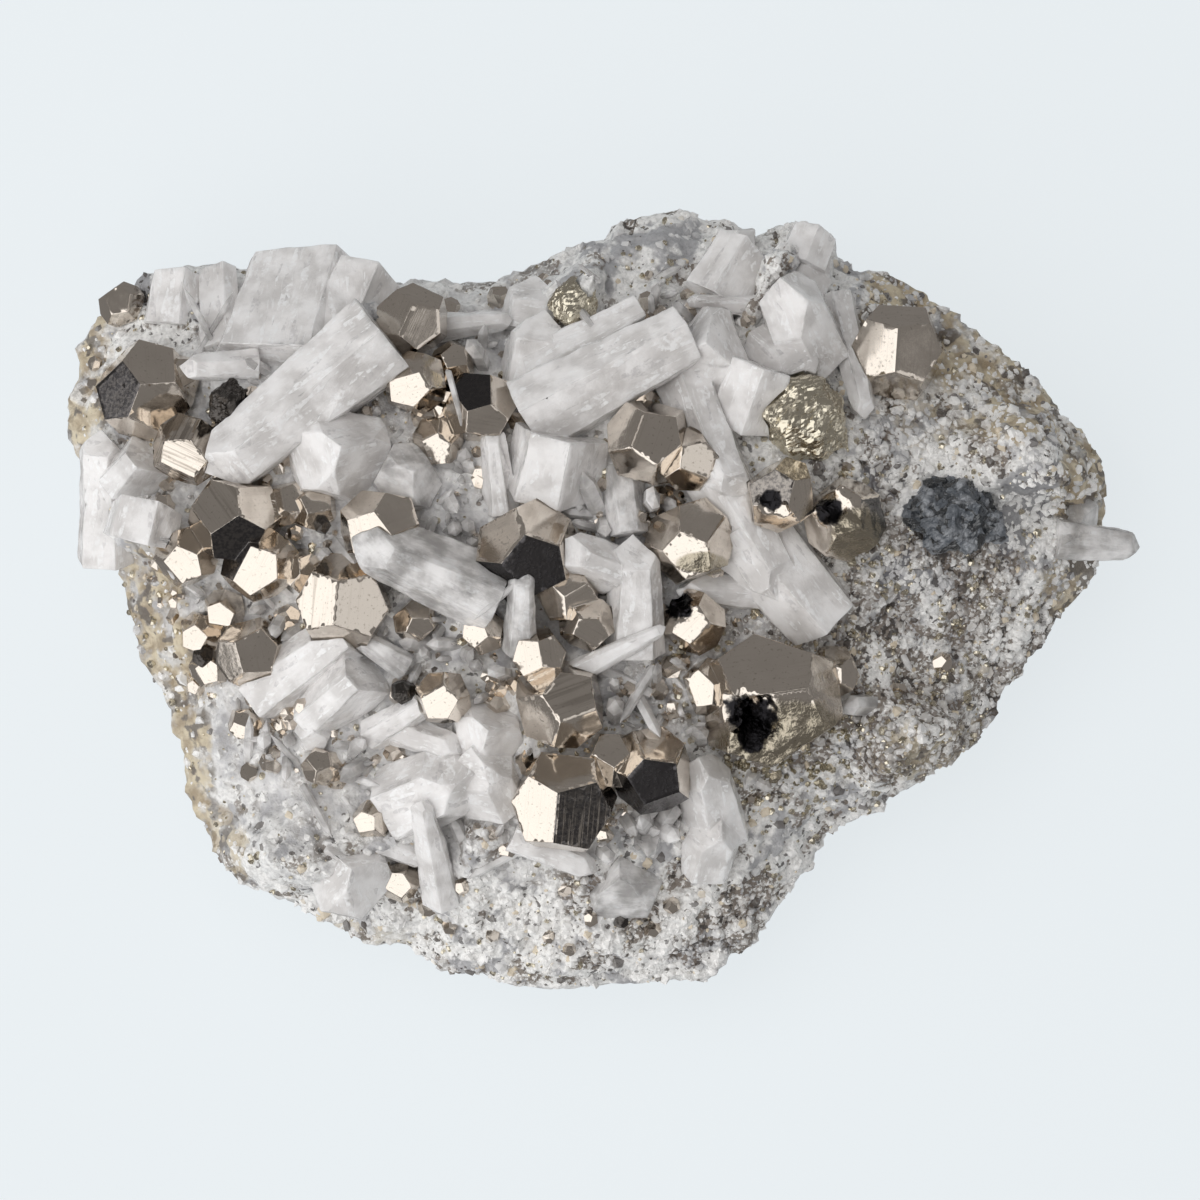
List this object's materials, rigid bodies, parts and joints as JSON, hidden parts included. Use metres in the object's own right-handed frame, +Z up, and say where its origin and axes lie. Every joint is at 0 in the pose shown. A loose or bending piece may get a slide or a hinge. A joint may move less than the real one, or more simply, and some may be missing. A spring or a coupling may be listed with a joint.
{
  "type": "pyrite and quartz mineral specimen",
  "caption": "Natural pyrite crystals with five-sided faces and milky quartz points grown on granular rock, resting on a flat broken face.",
  "frame": {"origin": "centre of the flat face that the specimen rests on, under the middle of its outline", "axes": "+X along the specimen towards the quartz spur, +Y across it towards the upper rim, +Z up out of the crystal side"},
  "size_m": [0.1188, 0.087, 0.0372],
  "materials": {
    "matrix_rock": "sugary granular quartz rock with grey and brassy specks",
    "pyrite": "bright metallic crystal faces, pale brass, some striated or tarnished dark",
    "quartz": "milky to clear quartz with streaks along the prisms",
    "dark_blende": "dark blue-grey glassy, rough"
  },
  "bodies": {
    "root": {"matrix": "matrix_rock", "blende_mass": "dark_blende", "pyrite_beige": "pyrite", "pyrite_below_beige": "pyrite", "pyrite_black_knot": "pyrite", "pyrite_black_small": "pyrite", "pyrite_bottom_olive": "pyrite", "pyrite_bottom_white": "pyrite", "pyrite_brown_knot": "pyrite", "pyrite_compound": "pyrite", "pyrite_corner": "pyrite", "pyrite_golden": "pyrite", "pyrite_left_lower": "pyrite", "pyrite_left_nugget": "pyrite", "pyrite_left_rim": "pyrite", "pyrite_lower_large": "pyrite", "pyrite_middle_dark": "pyrite", "pyrite_nodule": "pyrite", "pyrite_olive_left": "pyrite", "pyrite_right_cream": "pyrite", "pyrite_right_tall": "pyrite", "pyrite_round_white": "pyrite", "pyrite_speckled": "pyrite", "pyrite_striped": "pyrite", "pyrite_upper_dark": "pyrite", "pyrite_upper_pair": "pyrite", "pyrite_upper_right": "pyrite", "pyrite_white_star": "pyrite", "quartz_below_large": "quartz", "quartz_big_milky": "quartz", "quartz_block_right": "quartz", "quartz_bottom_mass": "quartz", "quartz_clear_lumps": "quartz", "quartz_clear_point": "quartz", "quartz_clouded_mass": "quartz", "quartz_cross_bar": "quartz", "quartz_hump_top": "quartz", "quartz_left_edge": "quartz", "quartz_left_low": "quartz", "quartz_left_slab": "quartz", "quartz_long_prism": "quartz", "quartz_lower_block": "quartz", "quartz_right_mass": "quartz", "quartz_right_streaked": "quartz", "quartz_round_left": "quartz", "quartz_spur": "quartz", "quartz_standing": "quartz", "quartz_top_knob": "quartz", "quartz_upper_bar": "quartz", "quartz_upper_fill": "quartz"}
  },
  "joints": []
}
